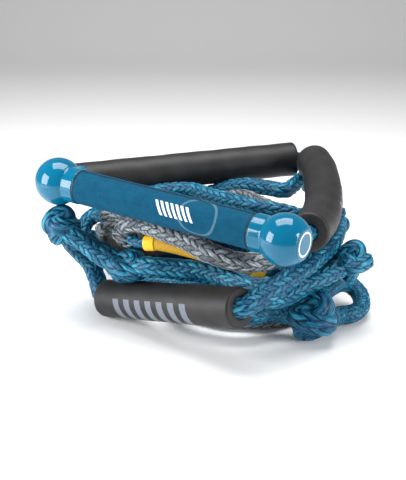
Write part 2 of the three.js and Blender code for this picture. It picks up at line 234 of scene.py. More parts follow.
def sums(tree, operation, a, b, limit=0.5):
    """One arithmetic node. limit is how near two values must be for COMPARE."""
    return node(tree, "ShaderNodeMath", {0: a, 1: b, 2: limit}, operation=operation).outputs[0]


def mixed(tree, factor, a, b, blend="MIX"):
    """Two colours mixed by a factor."""
    made = node(tree, "ShaderNodeMix", data_type="RGBA", blend_type=blend)
    for socket, value in zip((0, 6, 7), (factor, a, b)):
        if isinstance(value, bpy.types.NodeSocket):
            tree.links.new(value, made.inputs[socket])
        else:
            made.inputs[socket].default_value = value if socket == 0 else (*value, 1)
    return made.outputs[2]


def group(name, takes, gives):
    """An empty node group with named inputs {name: default} and outputs {name: kind}."""
    tree = bpy.data.node_groups.new(name, "ShaderNodeTree")
    for label, default in takes.items():
        kind = "NodeSocketColor" if isinstance(default, tuple) else "NodeSocketFloat"
        socket = tree.interface.new_socket(label, in_out="INPUT", socket_type=kind)
        socket.default_value = (*default, 1) if isinstance(default, tuple) else default
    for label, kind in gives.items():
        tree.interface.new_socket(label, in_out="OUTPUT", socket_type=kind)
    inside = tree.nodes.new("NodeGroupInput").outputs
    return tree, inside, tree.nodes.new("NodeGroupOutput")


def material(name, **settings):
    """A material with one Principled shader, and plain values set on its own sockets."""
    made = bpy.data.materials.new(name)
    made.use_nodes = True
    shader = made.node_tree.nodes["Principled BSDF"]
    for socket, value in settings.items():
        shader.inputs[socket.replace("_", " ")].default_value = value
    return made, made.node_tree, shader


COLOUR, NUMBER = "NodeSocketColor", "NodeSocketFloat"

# %% [markdown]
# ## Braided yarn
# The rope is a hollow braid of flat, shiny polyethylene yarns. The mesh holds the yarns
# themselves. The finish adds what is smaller: fine filaments along each yarn with a painted
# highlight where they lie on top, painted shade near black where one yarn dives under the next,
# and a highlight strength that differs at random from yarn to yarn.

# %% Yarn group
# The first two colours are painted shade, near black where one yarn dives under the next; the fourth is a
# painted highlight on the filaments.
yarn_group, given, out = group(
    "braided_yarn",
    {"Gap shade": (0.0, 0.003, 0.006), "Deep shade": (0.0, 0.03, 0.08), "Yarn": (0.0, 0.12, 0.3),
     "Light": (0.1, 0.5, 0.7), "Filaments": 26.0, "Painted highlight amount": 0.6},
    {"Colour": COLOUR, "Roughness": NUMBER, "Height": NUMBER},
)
t = yarn_group
place = node(t, "ShaderNodeSeparateXYZ", {0: node(t, "ShaderNodeUVMap", uv_map="surface").outputs[0]})
raised = node(t, "ShaderNodeAttribute", attribute_name="raised").outputs["Fac"]
family = node(t, "ShaderNodeAttribute", attribute_name="family").outputs["Fac"]
tone = node(t, "ShaderNodeAttribute", attribute_name="tone").outputs["Fac"]


def filaments(across, along):
    """Noise drawn out along a yarn: fine across it, slow along it."""
    fine = sums(t, "MULTIPLY", across, given["Filaments"])
    slow = sums(t, "MULTIPLY", along, 1.6)
    where = node(t, "ShaderNodeCombineXYZ", {0: fine, 1: slow, 2: tone})
    noise = node(t, "ShaderNodeTexNoise", {"Vector": where.outputs[0], "Scale": 1.0, "Detail": 2.0})
    return noise.outputs["Fac"]


leftward = filaments(place.outputs[0], place.outputs[1])
rightward = filaments(place.outputs[1], place.outputs[0])
fibre = node(t, "ShaderNodeMix", {0: family, 2: rightward, 3: leftward}).outputs[0]
where = node(t, "ShaderNodeTexCoord").outputs["Object"]
patches = node(t, "ShaderNodeTexNoise", {"Vector": where, "Scale": 90.0, "Detail": 2.0}).outputs["Fac"]
# Painted shade: near black where raised is low, where one yarn dives under the next, then darker blue, then
# the yarn's own colour.
base = mixed(t, ramp(t, raised, [(0.2, (0, 0, 0)), (0.45, (1, 1, 1))]), given["Gap shade"], given["Deep shade"])
base = mixed(t, ramp(t, raised, [(0.4, (0, 0, 0)), (0.72, (1, 1, 1))]), base, given["Yarn"])
# Painted highlight along the filaments: fibre noise, a random amount per yarn and slow patches, only where
# the yarn lies on top.
painted_highlight = sums(t, "ADD", sums(t, "MULTIPLY", fibre, 1.1), sums(t, "MULTIPLY", tone, 0.14))
painted_highlight = sums(t, "ADD", painted_highlight, sums(t, "MULTIPLY", patches, 0.3))
painted_highlight = node(t, "ShaderNodeMapRange", {0: painted_highlight, 1: 0.7, 2: 1.0, 3: 0.0, 4: 1.0}).outputs[0]
painted_highlight = sums(t, "MULTIPLY", painted_highlight, ramp(t, raised, [(0.6, (0, 0, 0)), (0.92, (1, 1, 1))]))
painted_highlight = sums(t, "MULTIPLY", painted_highlight, given["Painted highlight amount"])
t.links.new(mixed(t, painted_highlight, base, given["Light"]), out.inputs["Colour"])
t.links.new(node(t, "ShaderNodeMapRange", {0: fibre, 3: 0.3, 4: 0.5}).outputs[0], out.inputs["Roughness"])
t.links.new(sums(t, "MULTIPLY", fibre, 0.35), out.inputs["Height"])
print("yarn group:", len(t.nodes), "nodes")


# %% Rope finishes
def yarn_material(name, dip_shade, yarn, light, amount):
    """The yarn group with one rope's colours: painted shade in the dips, the yarn's own colour and a painted
    highlight.
    """
    made, tree, shader = material(name, Specular_IOR_Level=0.25)
    braid = tree.nodes.new("ShaderNodeGroup")
    braid.node_tree = yarn_group
    for label, colour in (("Deep shade", dip_shade), ("Yarn", yarn), ("Light", light)):
        braid.inputs[label].default_value = (*colour, 1)
    braid.inputs["Painted highlight amount"].default_value = amount
    tree.links.new(braid.outputs["Colour"], shader.inputs["Base Color"])
    tree.links.new(braid.outputs["Roughness"], shader.inputs["Roughness"])
    bump = node(tree, "ShaderNodeBump",
                {"Height": braid.outputs["Height"], "Distance": 0.0006, "Strength": 0.7})
    tree.links.new(bump.outputs[0], shader.inputs["Normal"])
    return made


# Per rope: painted shade for the dips, the yarn's own colour, the painted highlight and the highlight's
# strength.
blue_yarn = yarn_material("blue_yarn", (0.0, 0.007, 0.02), (0.0, 0.054, 0.13), (0.055, 0.44, 0.62), 1.0)
grey_yarn = yarn_material("grey_yarn", (0.007, 0.009, 0.011), (0.05, 0.064, 0.078), (0.5, 0.57, 0.61), 1.0)
print("rope finishes:", blue_yarn.name, grey_yarn.name)

# %% [markdown]
# ## The braid itself
# In a hollow braid half of the yarns wind one way round the rope and half the other, and each
# goes over two and under two. Unroll the skin and that is a pattern of two slanted families of
# stripes, so the height of the surface can be worked out at every point at once: two wavy
# stripes, and the higher one wins. No yarn has to be modelled on its own.

# %% The braid's surface
FLOOR_CLEAR = 0.0001   # a rope that would dip under the floor lies pressed flat on it


def hill(x):
    """Section of a flat yarn: 1 in its middle, 0 at both edges, with round shoulders."""
    return np.sqrt(np.clip(1 - np.abs(2 * x) ** 3, 0, 1))


def ripple(s, seed, waves=(0.19, 0.083, 0.041)):
    """Slow, uneven change along a rope, from -1 to 1: a few sines of seeded phase."""
    phases = np.random.default_rng(seed).uniform(0, 2 * math.pi, len(waves))
    return sum(np.sin(2 * math.pi * s / w + p) for w, p in zip(waves, phases)) / len(waves)


def braid(name, line, radius, finish, slot, seed, yarns=18, slant=32, step=0.9, around=72, closed=False,
          thick=1.4, stands_for=()):
    """Braided tube. u and v count yarns round the rope, one rising and one falling along it:
    u, v = half * angle / 2 pi -+ distance / pitch. The yarn u is on top while u + v's whole
    parts, taken modulo 4, are 0 or 1. Its surface is a hill across it plus a sine along it. The
    mark raised is low where the two families are level, which is where one dives."""
    line = evenly(line, step * MM)
    if closed:
        line = line[:-1]
    T, N, B = frames(line, closed)
    s = lengths(line)[:, None]
    total = s[-1, 0] + (np.linalg.norm(line[0] - line[-1]) if closed else 0)
    half = yarns // 2
    size = np.broadcast_to(np.asarray(radius, float) * MM, line.shape[0])[:, None]
    pitch = 2 * math.pi * size.mean() / half / math.tan(math.radians(slant))
    if closed:
        pitch = total / round(total / pitch)
    angle = np.linspace(0, 2 * math.pi, around + 1)[None, :]
    wander = 0 if closed else 0.5 * ripple(s, seed + 50, (0.31, 0.17))
    u = half * (angle + wander) / (2 * math.pi) - s / pitch
    v = half * (angle + wander) / (2 * math.pi) + s / pitch
    i, j = np.floor(u), np.floor(v)
    dive = 0.42 * thick * MM
    rise_u = dive * np.sin(math.pi * (v + i) / 2) + thick * MM * hill(u - i - 0.5)
    rise_v = -dive * np.sin(math.pi * (u + j) / 2) + thick * MM * hill(v - j - 0.5)
    rise = np.maximum(rise_u, rise_v)
    squash = 1 + (0 if closed else 0.05 * np.cos(2 * angle + 3 * ripple(s, seed, (0.23, 0.11))))
    r = size * squash * (1 + 0.025 * (0 if closed else ripple(s, seed + 9))) - 1.3 * thick * MM + rise
    r, ring = r[:, :-1, None], angle[0, :-1]
    outward = np.cos(ring)[None, :, None] * N[:, None] + np.sin(ring)[None, :, None] * B[:, None]
    rows = line[:, None] + r * outward
    rows[..., 2] = np.maximum(rows[..., 2], FLOOR_CLEAR)
    tones = np.random.default_rng(seed + 7).uniform(0, 1, (2, 64))
    over = rise_u > rise_v
    tone = np.where(over, tones[0][(i % half).astype(int)], tones[1][(j % half).astype(int)])
    # raised places the painted shade in the dips and the painted highlight on the crests.
    apart = np.clip(np.abs(rise_u - rise_v) / (0.7 * thick * MM), 0, 1)
    raised = 0.6 * apart + 0.4 * (rise + dive) / (2 * dive + thick * MM)
    marks = {"raised": raised[:, :-1], "family": over[:, :-1] * 1.0, "tone": tone[:, :-1]}
    uv = np.stack([u, v], -1)
    if closed:
        uv = np.concatenate([uv, uv[-1:] + (uv[-1:] - uv[-2:-1])])
    piece = skin(name, rows, finish, "handle_and_line", uv, marks, closed, stands_for)
    print(f"{name}: {total:.3f} m of {yarns}-yarn braid, {len(piece.data.polygons)} faces")
    return piece, line


# %% [markdown]
# ## Where the ropes run
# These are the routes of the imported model, in millimetres: a few points for each rope. Each
# rope starts and ends inside a knot, a ball or the coil, so no end is left hanging.

# %% Places on the bar
HANDLE_CENTRE = np.array([-18.8, -63.3, 113.4])
HANDLE_TURN = math.radians(-33.2)
HANDLE_DIP = math.radians(2.4)
BALL_SPAN = 212.5
cz, sz, cd, sd = math.cos(HANDLE_TURN), math.sin(HANDLE_TURN), math.cos(HANDLE_DIP), math.sin(HANDLE_DIP)
BAR = np.array([[cz * cd, sz * cd, -sd], [-sz, cz, 0], [cz * sd, sz * sd, cd]])


def on_bar(points):
    """Points given along, behind and above the bar, turned into the model's axes."""
    return HANDLE_CENTRE + np.asarray(points, float) @ BAR


# %% Routes
BACK_FLOAT = [[-110, 78, 93], [98, 126, 101]]
INNER_FLOAT = [[-80, 20, 50], [56, 88, 50]]
FRONT_FLOAT = [[-71.3, -8.7, 15], [39.5, -109.5, 50]]
SIDE_FLOAT = [[90, -88, 102], [102, -48, 98], [111, -6, 99], [114.5, 35, 103], [114.5, 66, 107],
              [112, 92, 108]]
KNOTS = {
    "apex_knot": [113, 111, 85], "knot_left": [-106, -15, 83], "knot_blue": [-50, -36, 54],
    "knot_grey": [-52, -20, 78], "knot_ring": [134, -31, 57], "knot_front": [100, -60, 19.5],
    "knot_side": [124, 25, 72],
}


def bore(ends):
    """Four points through a straight float, so that its rope runs straight in the foam."""
    a, b = np.asarray(ends, float)
    return [a + (b - a) * t for t in (0, 0.33, 0.67, 1)]


def between(start, points, end):
    """A route that starts in one knot and ends in another."""
    return [KNOTS[start], *points, KNOTS[end]]


half_bar = BALL_SPAN / 2
bridle_left = [*on_bar([[-half_bar, 0, 0], [-half_bar, 20, 0], [-half_bar, 28, 0]]),
               [-99, 37, 111], [-112, 54, 102], [-123, 65, 96], [-123, 74, 93], *bore(BACK_FLOAT),
               [108, 128, 99], [116, 125, 93], KNOTS["apex_knot"]]
bridle_right = [*on_bar([[half_bar, 0, 0], [half_bar, 20, 0]]), *SIDE_FLOAT, [111, 102, 108], [112, 108, 103],
                KNOTS["apex_knot"]]
leader = between("apex_knot", [
    [104, 102, 88], [94, 82, 88], [85, 70, 87], [69, 78, 87], [50, 88, 86], [29, 98, 79], [5, 107, 68],
    [-20, 109, 58], [-45, 101, 55], [-63, 84, 61], [-61, 68, 73], [-42, 70, 82], [-19, 80, 84],
    [0, 79, 85], [14, 66, 85], [27, 52, 85], [43, 37, 85], [57, 26, 85], [75, 20, 84], [95, 20, 79],
    [110, 23, 75]], "knot_side")
front = between("knot_side", [
    [125, 10, 73], [122, -9, 72], [115, -27, 70], [96, -55, 65], [74, -82, 60], [56, -98, 55],
    *bore(FRONT_FLOAT)[::-1],
    [-77, 1, 15.5], [-81, 8, 26], [-86, 6, 41], [-93, 0, 53], [-100, -7, 66]], "knot_left")
middle = between("knot_left", [
    [-97, -22, 77], [-87, -22, 70], [-75, -27, 62], [-64, -32, 57], KNOTS["knot_blue"],
    [-32, -46, 58], [-7, -49, 57], [17, -56, 56], [40, -73, 52], [57, -81, 47], [73, -72, 43],
    [88, -59, 45], [105, -50, 49], [120, -39, 53]], "knot_ring")
grey = between("knot_ring", [
    [118, -14, 49], [97, -32, 57], [82, -47, 69], [70, -66, 76], [56, -85, 78], [39, -91, 80],
    [20, -87, 84], [1, -70, 88], [-23, -51, 91], [-40, -33, 91], [-50, -25, 86]], "knot_grey")
coil_lead = [KNOTS["knot_grey"], [-63, -5, 79], [-72, 14, 80], [-83, 25, 78], [-91, 23, 71], [-94, 17, 63],
             [-92, 15, 55], [-87, 16.5, 50], *bore(INNER_FLOAT),
             [66, 92, 50], [80, 91, 47], [90, 80, 42], [92, 66, 38], [90, 50, 28]]
end_loop = [[102, -57, 12], [114, -46, 10], [125, -32, 8.8], [137, -27, 8.6], [146, -14, 10], [146, 1, 15],
            [138, 7, 21], [127, -4, 27], [118, -22, 31], [108, -40, 31], [99, -52, 29]]
sleeved = between("knot_grey", [
    [-44, -36, 76], [-22, -46, 78], [1, -53, 75], [28, -62, 70], [57, -63, 62], [75, -48, 52],
    [84, -42, 42], [93, -51, 36]], "knot_front")
returning = [
    [-28, 78, 26], [-24, 84, 44], [-6, 89, 58], [18, 88, 70], [46, 76, 79], [62, 57, 79], [77, 38, 76],
    [94, 26, 65], [108, 20, 51], [116, 20, 37], [110, 6, 22], [99, -9, 12], [84, -26, 7.4],
    [65, -38, 7.2], [46, -39, 7.2], [28, -36, 7.2], [10, -25, 7.2], [-3, -8, 8]]
coil_tail = [KNOTS["knot_front"], [83, -54, 20], [66, -50, 20], [51, -56, 20], [35, -57, 20.5],
             [18, -52, 21.5], [2, -43, 23], [-8, -30, 24.3], [-8, -16, 25], [2, -6.5, 25], [16, -4, 24.8]]
print(len(KNOTS), "knots, with ropes between them")

# %% [markdown]
# ## Knots
# Each knot is a round overhand knot pulled tight. Its line is the trefoil, the simplest knot
# there is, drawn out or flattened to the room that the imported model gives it.

# %% Knots
KNOT_SWELL = 2.2


def trefoil(node_name, tube, turn):
    """Knot line: x = sin a + 2 sin 2a, y = cos a - 2 cos 2a, z = -sin 3a, turned, then scaled so
    that the tube round it reaches a little past its node's box."""
    a = np.linspace(0, 2 * math.pi, 721)
    knot = np.stack([np.sin(a) + 2 * np.sin(2 * a), np.cos(a) - 2 * np.cos(2 * a), -2.6 * np.sin(3 * a)], -1)
    x, y, z = (math.radians(d) for d in turn)
    rx = np.array([[1, 0, 0], [0, math.cos(x), -math.sin(x)], [0, math.sin(x), math.cos(x)]])
    ry = np.array([[math.cos(y), 0, math.sin(y)], [0, 1, 0], [-math.sin(y), 0, math.cos(y)]])
    rz = np.array([[math.cos(z), -math.sin(z), 0], [math.sin(z), math.cos(z), 0], [0, 0, 1]])
    knot = knot @ (rz @ ry @ rx).T
    low, high = (np.array(corner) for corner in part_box(node_name))
    room = (high - low) / 2 + (KNOT_SWELL - tube) * MM
    knot = knot - (knot.max(0) + knot.min(0)) / 2
    return (low + high) / 2 + knot / np.abs(knot).max(0) * room


# tube radius, and how the knot is turned about X, Y and Z, in degrees
TIED = {
    "apex_knot": (5.8, (20, 60, 0)), "knot_left": (8.2, (0, 75, 50)), "knot_blue": (8.2, (0, 80, -25)),
    "knot_grey": (6.8, (0, 70, -60)), "knot_ring": (7.2, (0, 60, 25)), "knot_front": (9.4, (0, 75, -15)),
    "knot_side": (5.8, (60, 0, 40)), "stopper_knot_left": (4.4, (0, 90, 0)),
    "stopper_knot_right": (4.4, (0, 90, 0)),
}
knots = {}
for count, (name, (tube, turn)) in enumerate(TIED.items()):
    hidden = name.startswith("stopper")
    finish = (grey_yarn, "grey_rope") if name == "knot_grey" else (blue_yarn, "blue_rope")
    knots[name], _ = braid(f"tied_{name}", trefoil(name, tube, turn), tube, *finish, seed=300 + count,
                           yarns=8 if hidden else 16, slant=26, step=1.2 if hidden else 0.7,
                           around=24 if hidden else 60, closed=True, thick=1.5, stands_for=(name,))

# %% [markdown]
# ## Cut tails
# The ends left over from tying stick out of the knots. Each is a short braid that swells and
# opens where it was cut.

# %% Tails
TAILS = {
    "tail_blue": ("knot_blue", [[-62, -26, 57], [-72, -18, 57], [-80, -14, 55]], 5.6),
    "tail_blue_high": ("knot_blue", [[-71, -19.8, 62], [-81.2, -16.3, 66], [-88, -11.5, 74]], 7.0),
    "tail_grey_low": ("knot_grey", [[-60, -16, 80], [-68.7, -19.6, 82], [-75, -25, 81]], 5.0),
    "tail_grey_high": ("knot_grey", [[-58, -12, 84], [-66, -5, 87], [-73, 0, 88]], 4.6),
    "tail_ring": ("knot_ring", [[131, -42, 61], [123, -46, 65]], 5.0),
}
tails = {}
for count, (name, (knot, points, radius)) in enumerate(TAILS.items()):
    line = evenly(through([KNOTS[knot], *points]), 0.7 * MM)
    share = np.linspace(0, 1, len(line))
    size = radius * (1 + 0.35 * share**4 - 0.5 * np.clip((share - 0.93) / 0.07, 0, 1) ** 2)
    finish = (grey_yarn, "grey_rope") if "grey" in name else (blue_yarn, "blue_rope")
    tails[name], _ = braid(name, line, size, *finish, seed=500 + count, yarns=14, step=0.7, around=56,
                           thick=1.6)

# %% [markdown]
# ## Ropes
# Every stretch of the line is one braided tube along its route.

# %% Lay the ropes
def rope(name, points, radius, finish, slot, seed, stands_for, with_pieces=(), lay="loose", **how):
    """A braided tube along a route."""
    line = points if isinstance(points, np.ndarray) else through(points)
    piece, line = braid(name, line, radius, finish, slot, seed, stands_for=stands_for, **how)
    return piece


BLUE, GREY = (blue_yarn, "blue_rope"), (grey_yarn, "grey_rope")
rope("bridle_left", bridle_left, 6.5, *BLUE, 1, ("bridle_leg_left",))
rope("bridle_right", bridle_right, 6.5, *BLUE, 2, ("bridle_leg_right",), with_pieces=[knots["apex_knot"]])
rope("leader", leader, 7.0, *BLUE, 3, ("leader_rope",))
rope("front_line", front, 8.2, *BLUE, 4, ("front_rope",), yarns=20, with_pieces=[knots["knot_side"]])
rope("middle_line", middle, 8.2, *BLUE, 6, ("lead_rope", "middle_rope"), yarns=20,
     with_pieces=[knots["knot_left"], knots["knot_blue"], tails["tail_blue"],
     tails["tail_blue_high"]])
rope("grey_line", grey, 8.0, *GREY, 7, ("grey_rope",), with_pieces=[knots["knot_grey"], knots["knot_ring"],
     tails["tail_grey_low"], tails["tail_grey_high"], tails["tail_ring"]])
rope("sleeved_line", sleeved, 4.4, *BLUE, 8, ("sleeve_rope",), yarns=12, around=48)
rope("tow_loop", end_loop, 8.0, *BLUE, 9, ("end_loop",), yarns=26, slant=40,
     with_pieces=[knots["knot_front"]])
rope("returning_line", returning, 7.0, *GREY, 10, ("return_rope",))

# %% [markdown]
# ## The coiled line
# The rest of the line is wound in a long coil, two turns side by side and two layers high. It is
# one rope of a little over three turns: it comes in at the outer turn of the top layer, drops to
# the lower outer turn, moves in, and climbs the inner turn to where the next stretch leaves it.

# %% Wind the coil
COIL_CENTRE = (20, 40)
COIL_STRAIGHT = 80
COIL_OUTER_FOLD = 44
COIL_PITCH = 16.6
LINE_R = 8.2


def oval(turns, fold, height):
    """Line round an oval of two straight runs and two half circles, by its share of a turn.
    The fold radius and the height may change on the way. Counter-clockwise from the middle
    of the near straight run."""
    run = 2 * COIL_STRAIGHT + 2 * math.pi * COIL_OUTER_FOLD
    half, arc = COIL_STRAIGHT / 2, math.pi * COIL_OUTER_FOLD
    q = (turns % 1) * run
    legs = [q < half, q < half + arc, q < 3 * half + arc, q < 3 * half + 2 * arc]
    bend = np.select(legs, [0 * q, (q - half) / arc, 1 + 0 * q, 1 + (q - 3 * half - arc) / arc], 2 + 0 * q)
    x = np.select(legs, [q, half + 0 * q, half - (q - half - arc), -half + 0 * q],
                  -half + (q - 3 * half - 2 * arc))
    a = bend * math.pi - math.pi / 2
    x, y = COIL_CENTRE[0] + x + fold * np.cos(a), COIL_CENTRE[1] + fold * np.sin(a)
    return np.stack([x, y, height], -1) * MM


LAST_FOLD, LAST_RISE = 31.6, 3.2   # where the coil's end meets the rope that leaves it
turns = np.linspace(0.02, 3.27, 1300)
soft_step = lambda x: np.clip(x, 0, 1) ** 2 * (3 - 2 * np.clip(x, 0, 1))
change = lambda whole: soft_step((turns - whole + 0.1) / 0.2)
leaving = soft_step((turns - 3.1) / 0.17)
fold = COIL_OUTER_FOLD - COIL_PITCH * change(2)
fold = fold + (LAST_FOLD - COIL_OUTER_FOLD + COIL_PITCH) * leaving
height = LINE_R + COIL_PITCH * (1 - change(1) + change(3)) + LAST_RISE * leaving
wound = oval(turns, fold, height)
tail = through(coil_tail)
coil_line = evenly(np.vstack([tail[:-2], wound]), 1.1 * MM)
print("coil turns", round(float(lengths(wound)[-1]), 3), "m")
rope("coiled_line", coil_line, LINE_R, *BLUE, 11, ("line_coil", "coil_tail"), lay="coiled", yarns=26,
     slant=40, step=1.1, around=66)
rope("coil_to_knot", coil_lead, 6.5, *BLUE, 12, ("coil_lead",))

# %% [markdown]
# ## Floats
# Each float is a thick tube of closed-cell foam, cut square with soft edges. Its outline is
# carried once along the outside, round the end, and back through the bore, so the wall shows
# at both ends as it does on the real one.

# %% Foam finish
def foam_material(name, stripe=None):
    """Matt black foam with a faint skin: fine pores in the bump, and a low sheen."""
    made, tree, shader = material(name, Roughness=0.5, Specular_IOR_Level=0.35)
    where = node(tree, "ShaderNodeTexCoord").outputs["Object"]
    pores = node(tree, "ShaderNodeTexNoise", {"Vector": where, "Scale": 1400.0, "Detail": 3.0}).outputs["Fac"]
    cloud = node(tree, "ShaderNodeTexNoise", {"Vector": where, "Scale": 60.0, "Detail": 4.0}).outputs["Fac"]
    colour = ramp(tree, cloud, [(0.3, (0.009, 0.009, 0.0095)), (0.7, (0.019, 0.019, 0.02))])
    open_pores = ramp(tree, pores, [(0.55, (0, 0, 0)), (0.75, (0.5, 0.5, 0.5))])
    colour = mixed(tree, open_pores, colour, (0.035, 0.035, 0.036))
    if stripe is not None:
        colour = mixed(tree, stripe(tree), colour, (0.15, 0.17, 0.21))
    tree.links.new(colour, shader.inputs["Base Color"])
    both = sums(tree, "ADD", sums(tree, "MULTIPLY", cloud, 0.6), pores)
    bump = node(tree, "ShaderNodeBump", {"Height": both, "Distance": 0.0003, "Strength": 0.5})
    tree.links.new(bump.outputs[0], shader.inputs["Normal"])
    return made


def slanted_bars(first, pitch, width, count, lean, low, high):
    """Mask of plain slanted bars. They repeat along the float and lean as they go round it."""
    def mask(tree):
        surface = node(tree, "ShaderNodeUVMap", uv_map="surface").outputs[0]
        place = node(tree, "ShaderNodeSeparateXYZ", {0: surface})
        along, round_it = place.outputs[0], place.outputs[1]
        shifted = sums(tree, "SUBTRACT", along, sums(tree, "MULTIPLY", round_it, lean))
        number = sums(tree, "DIVIDE", sums(tree, "SUBTRACT", shifted, first), pitch)
        on = sums(tree, "LESS_THAN", sums(tree, "FRACT", number, 0.0), width / pitch)
        for value, edge, test in ((number, 0.0, "GREATER_THAN"), (number, float(count), "LESS_THAN"),
                                  (round_it, low, "GREATER_THAN"), (round_it, high, "LESS_THAN")):
            on = sums(tree, "MULTIPLY", on, sums(tree, test, value, edge))
        return on
    return mask


# %% Float shape
FLOAT_R = 16.0


def float_piece(name, points, bore_r, finish, stands_for, body):
    """Foam tube: an outline (distance, radius) carried along a line. The outline runs along the
    outside, round one end, back through the bore and round the other end."""
    line = evenly(through(points), 1.0 * MM)
    total = lengths(line)[-1] / MM
    outer, inner, edge, lip = FLOAT_R, bore_r + 0.6, 2.5, 0.8
    q = np.linspace(0, math.pi / 2, 7)
    out_s = np.linspace(edge, total - edge, 110)
    in_s = np.linspace(total - lip, lip, 24)
    s = np.concatenate([edge - edge * np.cos(q), out_s[1:-1], total - edge + edge * np.sin(q),
                        total - lip + lip * np.cos(q), in_s[1:-1], lip - lip * np.sin(q)])
    r = np.concatenate([outer - edge + edge * np.sin(q), np.full(108, outer), outer - edge + edge * np.cos(q),
                        inner + lip - lip * np.sin(q), np.full(22, inner), inner + lip - lip * np.cos(q)])
    T, N, B = frames(line)
    run = lengths(line) / MM
    pick = lambda field: np.stack([np.interp(s, run, field[:, k]) for k in range(3)], -1)
    centre, n, b = pick(line), unit(pick(N)), unit(pick(B))
    angle = np.linspace(0, 2 * math.pi, 73)
    round_it = angle[None, :-1]
    dent = 0.12 * np.sin(s[:, None] / 9 + 2 * round_it) + 0.1 * np.sin(s[:, None] / 4.1 - 3 * round_it)
    radius = (r[:, None] + dent * (r[:, None] > inner + 2) - 0.1) * MM
    ring = np.cos(angle[:-1])[None, :, None] * n[:, None] + np.sin(angle[:-1])[None, :, None] * b[:, None]
    rows = centre[:, None] + radius[..., None] * ring
    uv = np.stack(np.broadcast_arrays(s[:, None] * MM, angle[None] * outer * MM), -1)
    piece = skin(name, rows, finish, body, np.concatenate([uv, uv[:1]]), None, True, stands_for)
    print(f"{name}: {total:.0f} mm of foam")
    return piece


plain_foam = foam_material("black_foam")
striped_foam = foam_material("striped_foam", slanted_bars(0.0215, 0.0129, 0.0066, 7, 0.1, 0.0416, 0.064))
marked_foam = foam_material("marked_foam", slanted_bars(0.05, 0.014, 0.006, 5, 0.3, 0.06, 0.09))
float_piece("back_float", BACK_FLOAT, 6.5, plain_foam, ("float_back",), "back_foam")
float_piece("inner_float", INNER_FLOAT, 6.5, plain_foam, ("float_inner",), "inner_foam")
float_piece("front_float", FRONT_FLOAT, 8.2, striped_foam, ("float_front",), "front_foam")
float_piece("side_float", SIDE_FLOAT, 6.5, marked_foam, ("float_side",), "handle_and_line")

# %% [markdown]
# ## The sleeve
# A yellow woven cover is pulled over the thin line and held by two smooth bands. It tells the
# rider at a glance how much line is out.

# %% Sleeve and bands
def cover(name, start, stop, outer, inner, finish, stands_for, ribs=0.0):
    """Tube wall over part of the sleeved line, from one distance to another, with a round edge
    at each end. ribs is the height of the weave's rounds."""
    line = at_distance(through(sleeved), np.linspace(start, stop, 240) * MM)
    T, N, B = frames(line)
    run = lengths(line) / MM
    total = run[-1]
    q = np.linspace(0, math.pi / 2, 5)
    edge = (outer - inner) / 2
    mid = (outer + inner) / 2
    out_s = np.linspace(edge, total - edge, 140)
    s = np.concatenate([edge - edge * np.cos(q), out_s[1:-1], total - edge + edge * np.sin(q),
                        total - edge + edge * np.cos(q)[1:], [total / 2], edge - edge * np.sin(q)[:-1]])
    r = np.concatenate([mid + edge * np.sin(q), np.full(138, outer), mid + edge * np.cos(q),
                        mid - edge * np.sin(q)[1:], [inner], mid - edge * np.cos(q)[:-1]])
    pick = lambda field: np.stack([np.interp(s, run, field[:, k]) for k in range(3)], -1)
    centre, n, b = pick(line), unit(pick(N)), unit(pick(B))
    angle = np.linspace(0, 2 * math.pi, 65)
    wave = ribs * np.sin(2 * math.pi * s[:, None] / 1.9 + 2 * angle[None, :-1]) * (r[:, None] >= outer - 0.01)
    ring = np.cos(angle[:-1])[None, :, None] * n[:, None] + np.sin(angle[:-1])[None, :, None] * b[:, None]
    rows = centre[:, None] + ((r[:, None] + wave) * MM)[..., None] * ring
    uv = np.stack(np.broadcast_arrays(s[:, None] * MM, angle[None] * outer * MM), -1)
    uv = np.concatenate([uv, uv[:1]])
    return skin(name, rows, finish, "handle_and_line", uv, None, True, stands_for)


def sleeve_material():
    """Close yellow weave: two crossed waves for the threads, with painted shade between them."""
    made, tree, shader = material("yellow_weave", Roughness=0.6)
    uv = node(tree, "ShaderNodeUVMap", uv_map="surface").outputs[0]
    turned = node(tree, "ShaderNodeMapping", {"Vector": uv, "Rotation": (0, 0, 0.8)}).outputs[0]
    threads = {"Vector": turned, "Scale": 260.0, "Distortion": 1.5}
    one = node(tree, "ShaderNodeTexWave", threads).outputs["Fac"]
    two = node(tree, "ShaderNodeTexWave", threads, bands_direction="Y").outputs["Fac"]
    weave = sums(tree, "MULTIPLY", one, two)
    # The darkest stop is painted shade between the threads.
    yellows_and_weave_shade = [(0.0, (0.3, 0.15, 0.003)), (0.25, (0.66, 0.38, 0.004)), (0.8, (0.88, 0.52, 0.008))]
    colour = ramp(tree, weave, yellows_and_weave_shade)
    tree.links.new(colour, shader.inputs["Base Color"])
    bump = node(tree, "ShaderNodeBump", {"Height": weave, "Distance": 0.0004, "Strength": 0.8})
    tree.links.new(bump.outputs[0], shader.inputs["Normal"])
    return made


